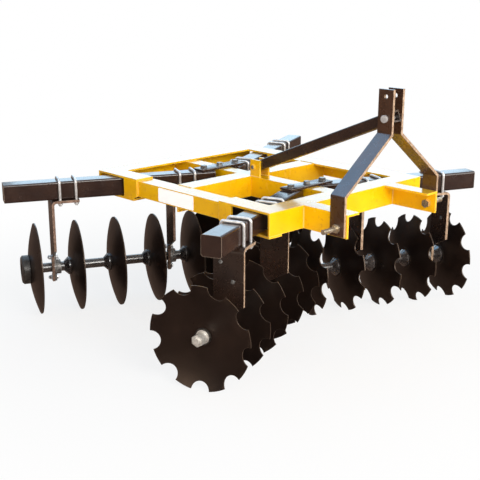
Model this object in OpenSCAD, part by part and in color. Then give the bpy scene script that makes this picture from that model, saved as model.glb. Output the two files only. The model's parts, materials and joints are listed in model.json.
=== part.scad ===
// Rigid-frame tandem disc harrow for a tractor's three-point hitch.
// +X is the machine's left, -Y is forward (the tractor's side), +Z is up.
// The ground is at z = 0 and the origin is under the middle of the machine's box.

/* [Frame] */
// Overall width of the frame over its corner boxes
frame_w = 1060; // [1040:5:1160]
// Overall length of the frame, from the front rail to the rear rail
frame_len = 1200; // [1150:5:1240]
// Height of the frame's top above the ground
frame_h = 704; // [680:1:760]
// Thickness of every angle iron
angle_t = 9.5; // [8:0.5:12]
// Depth of the front, rear, middle and centre rails
rail_leg = 101.6; // [100:0.1:110]
// Width of the rails' top flanges
rail_flange = 101.6; // [90:0.1:110]
// Depth of the side rails' outer legs
side_leg = 76.2; // [60:0.1:90]
// Width of the centre rail's top flange
centre_flange = 76.2; // [60:0.1:80]
// Distance from the front rail's face to the middle rail's face
middle_rail_back = 605; // [580:1:640]

/* [Corner boxes] */
// Length of the front corner boxes
front_box_len = 310; // [296:1:330]
// How far back the front boxes' openings reach
front_slot = 233; // [230:1:240]
// Length of the rear corner boxes
rear_box_len = 306; // [280:1:320]
// How far forward the rear boxes' openings reach
rear_slot = 206; // [205:1:212]
// Length of the sloping end of a box's side plate
box_slope = 26; // [15:1:40]
// Distance from the frame's ends to the side rails' top flanges
flange_start = 250; // [249:1:256]
// Width of the boxes' floor plates
box_floor_w = 76.2; // [60:0.1:90]

/* [Gang beams] */
// Outside width of the square gang beams
beam_w = 88.9; // [80:0.1:90]
// Wall of the gang beams
beam_wall = 6.4; // [4:0.1:8]
// Outer corner radius of the gang beams
beam_corner_r = 9.5; // [8:0.5:12]
// Sliding gap between a beam and the plates above it
beam_gap = 1.6; // [1:0.1:2]
// Distance of each beam's pivot bolt from the machine's centre line
pivot_x = 110; // [106:1:120]
// Length of a beam inboard of its pivot bolt
beam_inner = 50; // [40:1:52]
// Thickness of the plate that closes a beam's outer end
beam_cap_t = 6; // [4:0.5:8]
// Length of a front beam outboard of its pivot bolt
front_beam_outer = 850; // [820:1:900]
// Length of a rear beam outboard of its pivot bolt
rear_beam_outer = 1000; // [960:1:1040]
// Angle of the front gangs
front_angle = 22; // [20:0.5:22]
// Angle of the rear gangs
rear_angle = 24.5; // [23.5:0.5:25]
// Gap between a front beam and the front rail, at the side rail
front_beam_gap = 44; // [42:0.5:46]
// Distance from the rear rail's face to a rear beam's centre, at the side rail
rear_beam_inset = 131; // [129:1:133]

/* [Discs] */
// Diameter of the discs
disc_d = 457.2; // [440:0.2:460]
// Depth of a disc's dish
disc_dish = 38; // [30:1:42]
// Thickness of the discs
disc_t = 5; // [4:0.5:6]
// Radius of the flat centre of a disc
disc_flat_r = 52; // [48:1:60]
// Number of discs in each gang
disc_count = 5; // [5:1:5]
// Distance from one disc to the next
disc_pitch = 203.2; // [200:0.1:206]
// Number of notches round a front disc
notch_count = 9; // [8:1:10]
// Radius of a notch
notch_r = 42; // [34:1:46]
// Distance of a notch's centre beyond the rim
notch_out = 2; // [0:1:8]
// Station of the innermost front disc along its beam, from the pivot
front_first = -66; // [-68:1:-60]
// Station of the innermost rear disc along its beam, from the pivot
rear_first = 80; // [80:1:84]

/* [Axles and spools] */
// Distance of a gang's axle behind its beam
axle_back = 85; // [80:1:90]
// Side of the square axle bar
axle_bar = 28.6; // [25:0.1:30]
// Radius of a spool's tube
spool_r = 24; // [23:0.5:28]
// Radius of a spool's bell ends
spool_bell_r = 45; // [40:1:48]
// Width of a bell's rim
bell_rim = 9; // [6:0.5:12]
// Length of a bell's taper
bell_taper = 22; // [15:1:30]
// Radius of the bumper casting on a disc's convex side
bumper_r = 72; // [60:1:75]
// Thickness of the bumper casting
bumper_t = 38; // [34:1:40]
// Width across the flats of the axle nuts
axle_nut = 46; // [41:1:50]
// Thickness of the axle nuts
axle_nut_t = 24; // [18:1:28]
// Radius of the washer in a disc's dish
dish_washer_r = 36; // [30:1:45]
// Thickness of the washer in a disc's dish
dish_washer_t = 9; // [6:0.5:14]
// Length of the sleeve between that washer and its nut
dish_sleeve = 26; // [10:1:40]
// Length of the axle's thread beyond a nut
thread_out = 9; // [4:1:15]

/* [Hangers and clamps] */
// Thickness of the hanger plates
hanger_t = 12.7; // [10:0.1:14]
// Width of a hanger's foot and upper plate
hanger_w = 136; // [134:1:140]
// Width of a hanger's plate at the axle
hanger_low_w = 84; // [76:1:90]
// Station of a front gang's inner hanger along its beam, from the pivot
front_inner_hanger = 194; // [193:1:200]
// Station of a front gang's outer hanger
front_outer_hanger = 686; // [660:1:690]
// Station of a rear gang's inner hanger
rear_inner_hanger = 178; // [177:1:182]
// Station of a rear gang's outer hanger
rear_outer_hanger = 778; // [750:1:790]
// Outer radius of the bend between a hanger's plate and its foot
hanger_bend = 24; // [20:1:25]
// Length of a front hanger's foot
front_foot_len = 119; // [118:1:124]
// Length of a rear hanger's foot
rear_foot_len = 135; // [134:1:138]
// Diameter of the U-bolts
ubolt_d = 12.7; // [12:0.1:14]
// Centreline radius of a U-bolt's bends
ubolt_bend = 15; // [14:0.5:16]
// Distance from a front hanger plate to its first U-bolt
front_ubolt_first = 30; // [26:1:34]
// Distance from a front hanger plate to its second U-bolt
front_ubolt_second = 100; // [94:1:101]
// Distance from a rear hanger plate to its first U-bolt
rear_ubolt_first = 38; // [30:1:44]
// Distance from a rear hanger plate to its second U-bolt
rear_ubolt_second = 116; // [110:1:117]
// Thickness of the U-bolts' nuts
ubolt_nut_t = 11; // [9:0.5:12]
// Width across the flats of the U-bolts' nuts
ubolt_nut = 19; // [18:0.5:22]
// Height of a bearing's oval flange
bearing_h = 138; // [130:1:144]
// Thickness of a bearing's flange
bearing_flange_t = 12; // [8:0.5:14]
// Radius of a bearing's body
bearing_r = 40; // [38:1:42]
// Length of a bearing's body
bearing_len = 34; // [28:1:38]

/* [Straps] */
// Half length of the upper straps
strap_half = 146; // [140:1:147]
// Half length of the lower straps
low_strap_half = 140; // [130:1:142]
// Width of the upper straps
strap_w = 76.2; // [60:0.1:80]
// Width of the lower straps
low_strap_w = 50.8; // [46:0.1:56]
// Radius of the pivot bolts
pivot_bolt_r = 9.5; // [8:0.5:11]

/* [Hitch] */
// Distance of each bracket's outer face from the centre line
bracket_x = 320; // [300:1:340]
// Length of the hitch brackets ahead of the front rail
bracket_len = 240; // [220:1:280]
// Width of the brackets' top flanges
bracket_flange = 76.2; // [60:0.1:90]
// Width of the mast bars
mast_w = 76.2; // [60:0.1:80]
// Thickness of the mast bars
mast_t = 12.7; // [10:0.1:16]
// Gap between the mast bars at the top
mast_gap = 54; // [52.5:0.5:64]
// Distance from the brackets' front ends to the mast bars
mast_inset = 7; // [2:1:15]
// Height of the lower link pins below the frame's top
pin_drop = 62; // [56:1:66]
// Radius of the lower link pins
lower_pin_r = 11.1; // [10:0.1:12]
// Free length of the lower link pins
lower_pin_len = 78; // [70:1:90]
// Height of the brace pin above the lower link pins
mast_height = 424; // [410:1:470]
// Height of the top link hole above the brace pin
top_hole_up = 94; // [90:1:120]
// Radius of the top link hole
top_hole_r = 9.7; // [9.5:0.1:10]
// Height of the mast's top above the top link hole
mast_top_up = 30; // [24:1:40]
// Height of the mast's lower bends above the lower link pins
low_bend_up = 135; // [110:1:140]
// Depth of the mast's upper bends below the brace pin
high_bend_down = 66; // [50:1:80]
// Depth of the mast bars' lower ends below the lower link pins
mast_foot_down = 34; // [30:1:38]

/* [Brace] */
// Outside width of the square brace tube
brace_w = 50.8; // [44:0.1:51]
// Wall of the brace tube
brace_wall = 6.4; // [4:0.1:8]
// Radius of the brace's pins
brace_pin_r = 9.5; // [8:0.1:9.6]
// Length of the clevis plates along the machine
clevis_len = 65; // [60:1:70]
// How far the clevis plates reach ahead of the middle rail
clevis_ahead = 55; // [45:1:60]
// Height of the clevis plates
clevis_h = 84; // [76:1:100]
// Height of the clevis bolt above the rails
clevis_bolt_up = 46; // [40:1:54]
// Distance of the clevis bolt from the plates' rear edge
clevis_bolt_in = 22; // [20:1:26]

/* [Hidden] */

// Small clearances, and how far a cut runs past its faces
run_fit = 0.05;
bolt_fit = 0.3;
cut = 1;

// Gap between a side rail's leg and the box plates beside it
slot_gap = 6;

// Heights of the rails and of what hangs from them
half_w = frame_w / 2;
top_z = frame_h;
low_top_z = top_z - angle_t;
box_floor_z = top_z - rail_leg;
low_rail_bottom = low_top_z - rail_leg;
beam_top = low_top_z - beam_gap;
beam_z = beam_top - beam_w / 2;
beam_bottom = beam_top - beam_w;
axle_z = disc_d / 2;
disc_r = disc_d / 2;

// The curve of a disc: a sphere that meets the flat centre and the rim
dish_centre = (disc_r * disc_r + disc_dish * disc_dish - disc_flat_r * disc_flat_r) / (2 * disc_dish);
dish_sphere = sqrt(dish_centre * dish_centre + disc_flat_r * disc_flat_r);

// Stations of the outermost discs, and the reach of the rear gangs
gang_len = (disc_count - 1) * disc_pitch;
rear_last = rear_first + gang_len;
rear_pivot_inset = rear_beam_inset + (half_w - pivot_x) * tan(rear_angle);
rear_overhang = axle_back * cos(rear_angle) + (rear_last - disc_dish) * sin(rear_angle)
    + disc_r * cos(rear_angle) - rear_pivot_inset;

// Places along the machine, with the origin under the middle of its box
total_len = bracket_len + frame_len + rear_overhang;
bracket_front = -total_len / 2;
front_y = bracket_front + bracket_len;
rear_y = front_y + frame_len;
middle_y = front_y + middle_rail_back;
front_beam_y = front_y + angle_t + front_beam_gap + beam_w / 2 / cos(front_angle);
front_pivot_y = front_beam_y + (half_w - pivot_x) * tan(front_angle);
rear_pivot_y = rear_y - rear_pivot_inset;

// Hitch and brace
pin_z = top_z - pin_drop;
brace_pin_z = pin_z + mast_height;
top_hole_z = brace_pin_z + top_hole_up;
mast_top = top_hole_z + mast_top_up;
mast_y = bracket_front + mast_inset + mast_w / 2;
clevis_bolt_y = middle_y - clevis_ahead + clevis_len - clevis_bolt_in;
clevis_bolt_z = low_top_z + clevis_bolt_up;
clevis_gap = brace_w + 2 * bolt_fit;
brace_rise = atan2(brace_pin_z - clevis_bolt_z, clevis_bolt_y - mast_y);
brace_run = norm([clevis_bolt_y - mast_y, brace_pin_z - clevis_bolt_z]);
brace_end = 32;

// Hangers and clamps
// A gang's hangers, each with its station and the way that its foot points: 1 is outboard
front_hangers = [[front_inner_hanger, 1], [front_outer_hanger, -1]];
rear_hangers = [[rear_inner_hanger, -1], [rear_outer_hanger, -1]];
front_ubolts = [front_ubolt_first, front_ubolt_second];
rear_ubolts = [rear_ubolt_first, rear_ubolt_second];
ubolt_leg_y = beam_w / 2 + bolt_fit + ubolt_d / 2;
ubolt_top = beam_top + bolt_fit + ubolt_d / 2;
foot_bottom = beam_bottom - hanger_t;
ubolt_end = foot_bottom - ubolt_nut_t - 6;
bearing_bolt_z = bearing_h / 2 - 16;
bearing_bolt_r = 6.5;

paint = "gold";
black = [0.16, 0.13, 0.12];
zinc = [0.72, 0.73, 0.75];
cast = [0.45, 0.43, 0.41];

// A flat outline along +X with a height along +Z, pushed out along +Y
module along_y(len) {
    rotate([90, 0, 0]) translate([0, 0, -len]) linear_extrude(len) children();
}

// An angle iron along +Y: its leg at x = 0 hangs down and its flange points to +X
module angle_y(len, leg, flange, t) {
    translate([0, 0, -leg]) cube([t, len, leg]);
    translate([0, 0, -t]) cube([flange, len, t]);
}

// A square with round corners, about its centre
module round_square(w, r) {
    square([w, w - 2 * r], center = true);
    square([w - 2 * r, w], center = true);
    for (sx = [-1, 1], sy = [-1, 1])
        translate([sx * (w / 2 - r), sy * (w / 2 - r)]) circle(r, $fn = 48);
}

// A hexagon nut or bolt head, standing on z = 0
module hex_nut(flats, h) {
    cylinder(h = h, r = flats / 2 / cos(30), $fn = 6);
}

// A gang's own frame on the left side: +X runs outboard along the beam from the
// pivot bolt and +Y points to the rear. The right side is its mirror image.
module place_gang(side, front) {
    mirror([side < 0 ? 1 : 0, 0, 0])
        translate([pivot_x, front ? front_pivot_y : rear_pivot_y, 0])
            rotate([0, 0, front ? -front_angle : rear_angle])
                children();
}

// Something along the axle at a station, its z axis along the axle towards outboard
module on_axle(station) {
    translate([station, axle_back, axle_z]) rotate([0, 90, 0]) children();
}

module front_rail() color(paint) {
    translate([-half_w, front_y, top_z - rail_leg]) cube([frame_w, angle_t, rail_leg]);
    translate([-half_w + rail_flange, front_y, top_z - angle_t])
        cube([frame_w - 2 * rail_flange, rail_flange, angle_t]);
}

module rear_rail() color(paint) {
    translate([-half_w, rear_y - angle_t, top_z - rail_leg]) cube([frame_w, angle_t, rail_leg]);
    translate([-half_w + rail_flange, rear_y - rail_flange, top_z - angle_t])
        cube([frame_w - 2 * rail_flange, rail_flange, angle_t]);
}

module middle_rail() color(paint) {
    inner_w = frame_w - 4 * angle_t;
    translate([-inner_w / 2, middle_y, low_rail_bottom])
        cube([inner_w, angle_t, rail_leg - angle_t]);
    flange_w = frame_w - 2 * rail_flange;
    translate([-flange_w / 2, middle_y, low_top_z - angle_t])
        cube([flange_w, rail_flange, angle_t]);
}

module centre_rail() color(paint) {
    front_len = middle_y - front_y - angle_t;
    rear_start = middle_y + angle_t;
    rear_len = rear_y - angle_t - rear_start;
    translate([-centre_flange / 2, front_y + angle_t, low_top_z])
        angle_y(front_len, rail_leg, centre_flange, angle_t);
    translate([-centre_flange / 2, rear_start, low_rail_bottom])
        cube([angle_t, rear_len, rail_leg - angle_t]);
    translate([-centre_flange / 2, middle_y + rail_flange, low_top_z - angle_t])
        cube([centre_flange, rear_y - angle_t - middle_y - rail_flange, angle_t]);
}

// The outer plate of a corner box, from its opening to its sloping end
module box_side(len, slot) {
    plate = len - slot;
    rotate([90, 0, 90]) linear_extrude(angle_t)
        polygon([
            [slot, -angle_t], [slot, -rail_leg], [slot + plate - box_slope, -rail_leg],
            [len, -side_leg - angle_t], [len, -angle_t]
        ]);
}

// A corner box on the left side, from the end of the frame at y = 0 towards +Y
module corner_box(len, slot) {
    translate([half_w - angle_t, 0, top_z]) box_side(len, slot);
    translate([half_w - rail_flange, angle_t, top_z - angle_t])
        cube([rail_flange, len - angle_t, angle_t]);
    translate([half_w - box_floor_w, 0, box_floor_z - angle_t])
        cube([box_floor_w, len - box_slope, angle_t]);
}

module left_side() {
    leg_start = front_y + front_slot + slot_gap;
    leg_end = rear_y - rear_slot - slot_gap;
    translate([half_w - 2 * angle_t, leg_start, low_top_z - side_leg])
        cube([angle_t, leg_end - leg_start, side_leg]);
    translate([half_w - rail_flange, front_y + flange_start, low_top_z - angle_t])
        cube([rail_flange - 2 * angle_t, frame_len - 2 * flange_start, angle_t]);
    translate([0, front_y, 0]) corner_box(front_box_len, front_slot);
    translate([0, rear_y, 0]) mirror([0, 1, 0]) corner_box(rear_box_len, rear_slot);
}

module right_side_rail() color(paint) mirror([1, 0, 0]) left_side();

module left_side_rail() color(paint) left_side();

// Two straps and two pivot bolts join the inner ends of a pair of beams
module strap(y) color(black) translate([0, y, 0]) {
    difference() {
        translate([-strap_half, -strap_w / 2, low_top_z]) cube([2 * strap_half, strap_w, angle_t]);
        for (side = [-1, 1])
            translate([side * pivot_x, 0, low_top_z - cut])
                cylinder(h = angle_t + 2 * cut, r = pivot_bolt_r, $fn = 48);
    }
    difference() {
        translate([-low_strap_half, -low_strap_w / 2, low_rail_bottom - angle_t])
            cube([2 * low_strap_half, low_strap_w, angle_t]);
        for (side = [-1, 1])
            translate([side * pivot_x, 0, low_rail_bottom - angle_t - cut])
                cylinder(h = angle_t + 2 * cut, r = pivot_bolt_r, $fn = 48);
    }
    for (side = [-1, 1]) translate([side * pivot_x, 0, 0]) pivot_bolt();
}

module pivot_bolt() {
    head = 12;
    spacer_r = 18;
    bottom = low_rail_bottom - angle_t;
    translate([0, 0, bottom]) cylinder(h = top_z - bottom, r = pivot_bolt_r, $fn = 48);
    translate([0, 0, top_z]) hex_nut(3 * pivot_bolt_r, head);
    translate([0, 0, bottom - head]) hex_nut(3 * pivot_bolt_r, head);
    translate([0, 0, beam_top + bolt_fit])
        cylinder(h = beam_gap - bolt_fit, r = spacer_r, $fn = 48);
    translate([0, 0, low_rail_bottom])
        cylinder(h = beam_bottom - bolt_fit - low_rail_bottom, r = spacer_r, $fn = 48);
}

module front_strap() strap(front_pivot_y);

module rear_strap() strap(rear_pivot_y);

module left_bracket() {
    difference() {
        translate([bracket_x, bracket_front, top_z]) mirror([1, 0, 0])
            angle_y(bracket_len, rail_leg, bracket_flange, angle_t);
        translate([bracket_x - angle_t - cut, mast_y, pin_z]) rotate([0, 90, 0])
            cylinder(h = angle_t + 2 * cut, r = lower_pin_r, $fn = 48);
    }
}

module hitch_brackets() color(paint) {
    left_bracket();
    mirror([1, 0, 0]) left_bracket();
}

// The centreline of the left mast bar, seen from the front
mast_low_x = bracket_x + mast_t / 2;
mast_high_x = mast_gap / 2 + mast_t / 2;
mast_line = [
    [mast_low_x, pin_z - mast_foot_down],
    [mast_low_x, pin_z + low_bend_up],
    [mast_high_x, brace_pin_z - high_bend_down],
    [mast_high_x, mast_top]
];

// A strip of a constant thickness between two points of a flat outline
module strip(a, b, t) {
    run = b - a;
    translate(a) rotate(atan2(run[1], run[0])) translate([0, -t / 2]) square([norm(run), t]);
}

module mast_profile() {
    for (i = [0:2]) strip(mast_line[i], mast_line[i + 1], mast_t);
    for (i = [1:2]) translate(mast_line[i]) circle(mast_t / 2, $fn = 48);
}

module left_mast() {
    difference() {
        translate([0, mast_y - mast_w / 2, 0]) along_y(mast_w) mast_profile();
        for (hole = [[brace_pin_z, brace_pin_r], [top_hole_z, top_hole_r]])
            translate([mast_gap / 2 - cut, mast_y, hole[0]]) rotate([0, 90, 0])
                cylinder(h = mast_t + 2 * cut, r = hole[1], $fn = 48);
        translate([bracket_x - cut, mast_y, pin_z]) rotate([0, 90, 0])
            cylinder(h = mast_t + 2 * cut, r = lower_pin_r, $fn = 48);
    }
}

module right_mast_bar() color(black) mirror([1, 0, 0]) left_mast();

module left_mast_bar() color(black) left_mast();

module left_pin() {
    collar_t = 9;
    nut_t = 16;
    translate([bracket_x - angle_t - nut_t, mast_y, pin_z]) rotate([0, 90, 0]) {
        cylinder(h = nut_t + angle_t + mast_t + collar_t + lower_pin_len, r = lower_pin_r, $fn = 48);
        hex_nut(36, nut_t);
        translate([0, 0, nut_t + angle_t + mast_t]) cylinder(h = collar_t, r = 19, $fn = 48);
    }
}

module lower_link_pins() color(zinc) {
    left_pin();
    mirror([1, 0, 0]) left_pin();
}

module brace_pin() color(zinc) {
    half = mast_gap / 2 + mast_t;
    head_t = 10;
    tail = 22;
    translate([-half - head_t, mast_y, brace_pin_z]) rotate([0, 90, 0]) {
        cylinder(h = 2 * half + head_t + tail, r = brace_pin_r, $fn = 48);
        cylinder(h = head_t, r = 16, $fn = 48);
    }
}

// The brace tube leans from the clevis bolt up to the pin between the mast bars
module brace_tube() color(black) {
    difference() {
        translate([0, mast_y, brace_pin_z]) rotate([-brace_rise, 0, 0])
            translate([0, -brace_end, 0]) along_y(brace_run + 2 * brace_end)
                difference() {
                    round_square(brace_w, 6);
                    round_square(brace_w - 2 * brace_wall, 2);
                }
        for (p = [[mast_y, brace_pin_z], [clevis_bolt_y, clevis_bolt_z]])
            translate([-brace_w, p[0], p[1]]) rotate([0, 90, 0])
                cylinder(h = 2 * brace_w, r = brace_pin_r, $fn = 48);
    }
}

module brace_clevis() color(paint) {
    for (side = [-1, 1])
        translate([side * (clevis_gap + angle_t) / 2 - angle_t / 2, middle_y - clevis_ahead, low_top_z])
            cube([angle_t, clevis_len, clevis_h]);
    bolt_half = clevis_gap / 2 + angle_t;
    head_t = 8;
    translate([-bolt_half, clevis_bolt_y, clevis_bolt_z]) rotate([0, 90, 0])
        cylinder(h = 2 * bolt_half, r = brace_pin_r, $fn = 48);
    for (side = [0, 1]) mirror([side, 0, 0])
        translate([bolt_half, clevis_bolt_y, clevis_bolt_z]) rotate([0, 90, 0]) hex_nut(27, head_t);
}

// A gang beam, open at its inner end, with the bore for its pivot bolt
module beam(outer) color(black) {
    len = outer + beam_inner;
    difference() {
        translate([-beam_inner, 0, beam_z]) rotate([90, 0, 90]) difference() {
            linear_extrude(len) round_square(beam_w, beam_corner_r);
            translate([0, 0, -cut]) linear_extrude(len - beam_cap_t + cut)
                round_square(beam_w - 2 * beam_wall, beam_corner_r - beam_wall);
        }
        translate([0, 0, beam_bottom - cut])
            cylinder(h = beam_w + 2 * cut, r = pivot_bolt_r + run_fit, $fn = 48);
    }
}

// The flat outline of a hanger plate: y to the rear, z up
module hanger_outline() {
    low = axle_z - bearing_h / 2 + 6;
    waist = axle_z + bearing_h / 2;
    front_low = axle_back - hanger_low_w / 2;
    rear_low = axle_back + hanger_low_w / 2;
    polygon([
        [-hanger_w / 2, beam_bottom], [-hanger_w / 2, waist + 56], [front_low, waist - 4],
        [front_low, low], [rear_low, low], [rear_low, waist + 76],
        [hanger_w / 2, foot_bottom - hanger_t], [hanger_w / 2, beam_bottom]
    ]);
}

// The side view of the bent plate: x along the beam from the plate's outer face, z up
module hanger_bar(foot_len) {
    translate([hanger_bend, beam_bottom - hanger_t]) square([foot_len - hanger_bend, hanger_t]);
    square([hanger_t, beam_bottom - hanger_bend]);
    translate([hanger_bend, beam_bottom - hanger_bend]) intersection() {
        difference() {
            circle(hanger_bend, $fn = 64);
            circle(hanger_bend - hanger_t, $fn = 64);
        }
        translate([-hanger_bend, 0]) square(hanger_bend);
    }
}

// A hanger bent from one plate, its foot pointing outboard (way 1) or inboard (way -1)
module hanger(station, way, foot_len, ubolts) {
    difference() {
        translate([station, 0, 0]) mirror([way > 0 ? 0 : 1, 0, 0])
            translate([-hanger_t / 2, 0, 0]) intersection() {
                translate([0, hanger_w / 2, 0]) rotate([90, 0, 0])
                    linear_extrude(hanger_w) hanger_bar(foot_len);
                rotate([90, 0, 90]) linear_extrude(foot_len) hanger_outline();
            }
        on_axle(station) translate([0, 0, -hanger_t])
            cylinder(h = 2 * hanger_t, r = bearing_r - 6, $fn = 48);
        for (u = ubolts, s = [-1, 1])
            translate([station + way * u, s * ubolt_leg_y, foot_bottom - cut])
                cylinder(h = hanger_t + 2 * cut, r = ubolt_d / 2 + bolt_fit, $fn = 32);
    }
}

module hangers(places, foot_len, ubolts) color(black)
    for (p = places) hanger(p[0], p[1], foot_len, ubolts);

// A U-bolt over the beam, with its two nuts under the foot
module ubolt(x) {
    leg_top = ubolt_top - ubolt_bend;
    inner_y = ubolt_leg_y - ubolt_bend;
    translate([x, 0, 0]) {
        for (s = [-1, 1]) {
            translate([0, s * ubolt_leg_y, ubolt_end])
                cylinder(h = leg_top - ubolt_end, r = ubolt_d / 2, $fn = 32);
            translate([0, s * ubolt_leg_y, foot_bottom - ubolt_nut_t]) hex_nut(ubolt_nut, ubolt_nut_t);
        }
        translate([0, 0, leg_top]) for (s = [0, 1]) mirror([0, s, 0])
            translate([0, inner_y, 0]) rotate([90, 0, 90]) rotate_extrude(angle = 90, $fn = 48)
                translate([ubolt_bend, 0]) circle(ubolt_d / 2, $fn = 32);
        translate([0, inner_y, ubolt_top]) rotate([90, 0, 0])
            cylinder(h = 2 * inner_y, r = ubolt_d / 2, $fn = 32);
    }
}

module clamps(places, ubolts) color(zinc)
    for (p = places, u = ubolts) ubolt(p[0] + p[1] * u);

// A flanged bearing on the side of a hanger plate that its foot is on
module bearing(station, way) {
    on_axle(station + way * hanger_t / 2) mirror([0, 0, way > 0 ? 0 : 1]) difference() {
        union() {
            linear_extrude(bearing_flange_t) {
                circle(bearing_r, $fn = 64);
                square([2 * bearing_bolt_z, 40], center = true);
                for (s = [-1, 1]) translate([s * bearing_bolt_z, 0]) circle(20, $fn = 48);
            }
            cylinder(h = bearing_len, r = bearing_r - 4, $fn = 64);
        }
        translate([0, 0, -cut])
            cylinder(h = bearing_len + 2 * cut, r = spool_r + run_fit, $fn = 64);
        for (s = [-1, 1]) translate([s * bearing_bolt_z, 0, -cut])
            cylinder(h = bearing_flange_t + 2 * cut, r = bearing_bolt_r, $fn = 32);
    }
}

module bearings(places) color(cast)
    for (p = places) bearing(p[0], p[1]);

// Half of a disc's section: radius along x, the dish rising along y
module disc_section() {
    intersection() {
        difference() {
            translate([0, dish_centre]) circle(dish_sphere, $fn = 720);
            translate([0, dish_centre]) circle(dish_sphere - disc_t, $fn = 720);
        }
        square([disc_r, disc_dish + 2 * disc_t]);
    }
    square([disc_flat_r + disc_t, disc_t]);
}

// A dished disc with its flat at z = 0 and its hollow side towards +z
module disc_blank() {
    difference() {
        rotate_extrude($fn = 96) disc_section();
        translate([-axle_bar / 2, -axle_bar / 2, -cut]) cube([axle_bar, axle_bar, disc_t + 2 * cut]);
    }
}

module notched_disc(turn) {
    rotate([0, 0, turn]) difference() {
        disc_blank();
        for (i = [0:notch_count - 1]) rotate([0, 0, (i + 0.5) * 360 / notch_count])
            translate([disc_r + notch_out, 0, -cut])
                cylinder(h = disc_dish + 4 * disc_t, r = notch_r, $fn = 32);
    }
}

// Notched front discs, hollow side outboard, each a quarter turn on from the last
module front_discs() color(black)
    for (i = [0:disc_count - 1])
        on_axle(front_first + i * disc_pitch) notched_disc(180 + 90 * (disc_count - 1 - i));

// Plain rear discs, hollow side inboard
module rear_discs() color(black)
    for (i = [0:disc_count - 1])
        on_axle(rear_first + i * disc_pitch) mirror([0, 0, 1]) disc_blank();

// A spool between two discs: a tube with a bell at each end
module spool(len) {
    bore = axle_bar * sqrt(2) / 2 + bolt_fit;
    rotate_extrude($fn = 64) polygon([
        [bore, 0], [spool_bell_r, 0], [spool_bell_r, bell_rim], [spool_r, bell_rim + bell_taper],
        [spool_r, len - bell_rim - bell_taper], [spool_bell_r, len - bell_rim],
        [spool_bell_r, len], [bore, len]
    ]);
}

// Spools fill the gaps between the discs: start is where the first one begins
module spools(start) color(black)
    for (i = [0:disc_count - 2]) on_axle(start + i * disc_pitch) spool(disc_pitch - disc_t);

// A bumper casting, nut and thread on the convex side, standing on z = 0
module bumper_end() {
    recess_r = 32;
    recess = axle_nut_t + 6;
    difference() {
        union() {
            cylinder(h = bumper_t - 8, r = bumper_r, $fn = 96);
            translate([0, 0, bumper_t - 8]) cylinder(h = 8, r1 = bumper_r, r2 = bumper_r - 8, $fn = 96);
        }
        translate([0, 0, bumper_t - recess]) cylinder(h = recess + cut, r = recess_r, $fn = 64);
    }
    translate([0, 0, bumper_t - recess]) hex_nut(axle_nut, axle_nut_t);
}

// A washer, sleeve and nut in the hollow of the end disc, standing on z = 0
module dish_end() {
    cylinder(h = dish_washer_t, r = dish_washer_r, $fn = 64);
    cylinder(h = dish_washer_t + dish_sleeve, r = spool_r - 3, $fn = 64);
    translate([0, 0, dish_washer_t + dish_sleeve]) hex_nut(axle_nut, axle_nut_t);
    translate([0, 0, dish_washer_t + dish_sleeve + axle_nut_t])
        cylinder(h = thread_out, r = axle_bar / 2, $fn = 48);
}

// The square axle bar with what holds the stack of discs together
module front_axle() color(cast) {
    on_axle(front_first) {
        translate([-axle_bar / 2, -axle_bar / 2, 0]) cube([axle_bar, axle_bar, gang_len + disc_t]);
        mirror([0, 0, 1]) bumper_end();
        translate([0, 0, gang_len + disc_t]) dish_end();
    }
}

module rear_axle() color(cast) {
    on_axle(rear_first - disc_t) {
        translate([-axle_bar / 2, -axle_bar / 2, 0]) cube([axle_bar, axle_bar, gang_len + disc_t]);
        mirror([0, 0, 1]) dish_end();
        translate([0, 0, gang_len + disc_t]) bumper_end();
    }
}

module front_right_beam() place_gang(-1, true) beam(front_beam_outer);
module front_right_hangers() place_gang(-1, true)
    hangers(front_hangers, front_foot_len, front_ubolts);
module front_right_bearings() place_gang(-1, true) bearings(front_hangers);
module front_right_clamps() place_gang(-1, true) clamps(front_hangers, front_ubolts);
module front_right_discs() place_gang(-1, true) front_discs();
module front_right_spools() place_gang(-1, true) spools(front_first + disc_t);
module front_right_axle() place_gang(-1, true) front_axle();

module front_left_beam() place_gang(1, true) beam(front_beam_outer);
module front_left_hangers() place_gang(1, true)
    hangers(front_hangers, front_foot_len, front_ubolts);
module front_left_bearings() place_gang(1, true) bearings(front_hangers);
module front_left_clamps() place_gang(1, true) clamps(front_hangers, front_ubolts);
module front_left_discs() place_gang(1, true) front_discs();
module front_left_spools() place_gang(1, true) spools(front_first + disc_t);
module front_left_axle() place_gang(1, true) front_axle();

module rear_right_beam() place_gang(-1, false) beam(rear_beam_outer);
module rear_right_hangers() place_gang(-1, false)
    hangers(rear_hangers, rear_foot_len, rear_ubolts);
module rear_right_bearings() place_gang(-1, false) bearings(rear_hangers);
module rear_right_clamps() place_gang(-1, false) clamps(rear_hangers, rear_ubolts);
module rear_right_discs() place_gang(-1, false) rear_discs();
module rear_right_spools() place_gang(-1, false) spools(rear_first);
module rear_right_axle() place_gang(-1, false) rear_axle();

module rear_left_beam() place_gang(1, false) beam(rear_beam_outer);
module rear_left_hangers() place_gang(1, false)
    hangers(rear_hangers, rear_foot_len, rear_ubolts);
module rear_left_bearings() place_gang(1, false) bearings(rear_hangers);
module rear_left_clamps() place_gang(1, false) clamps(rear_hangers, rear_ubolts);
module rear_left_discs() place_gang(1, false) rear_discs();
module rear_left_spools() place_gang(1, false) spools(rear_first);
module rear_left_axle() place_gang(1, false) rear_axle();

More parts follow.
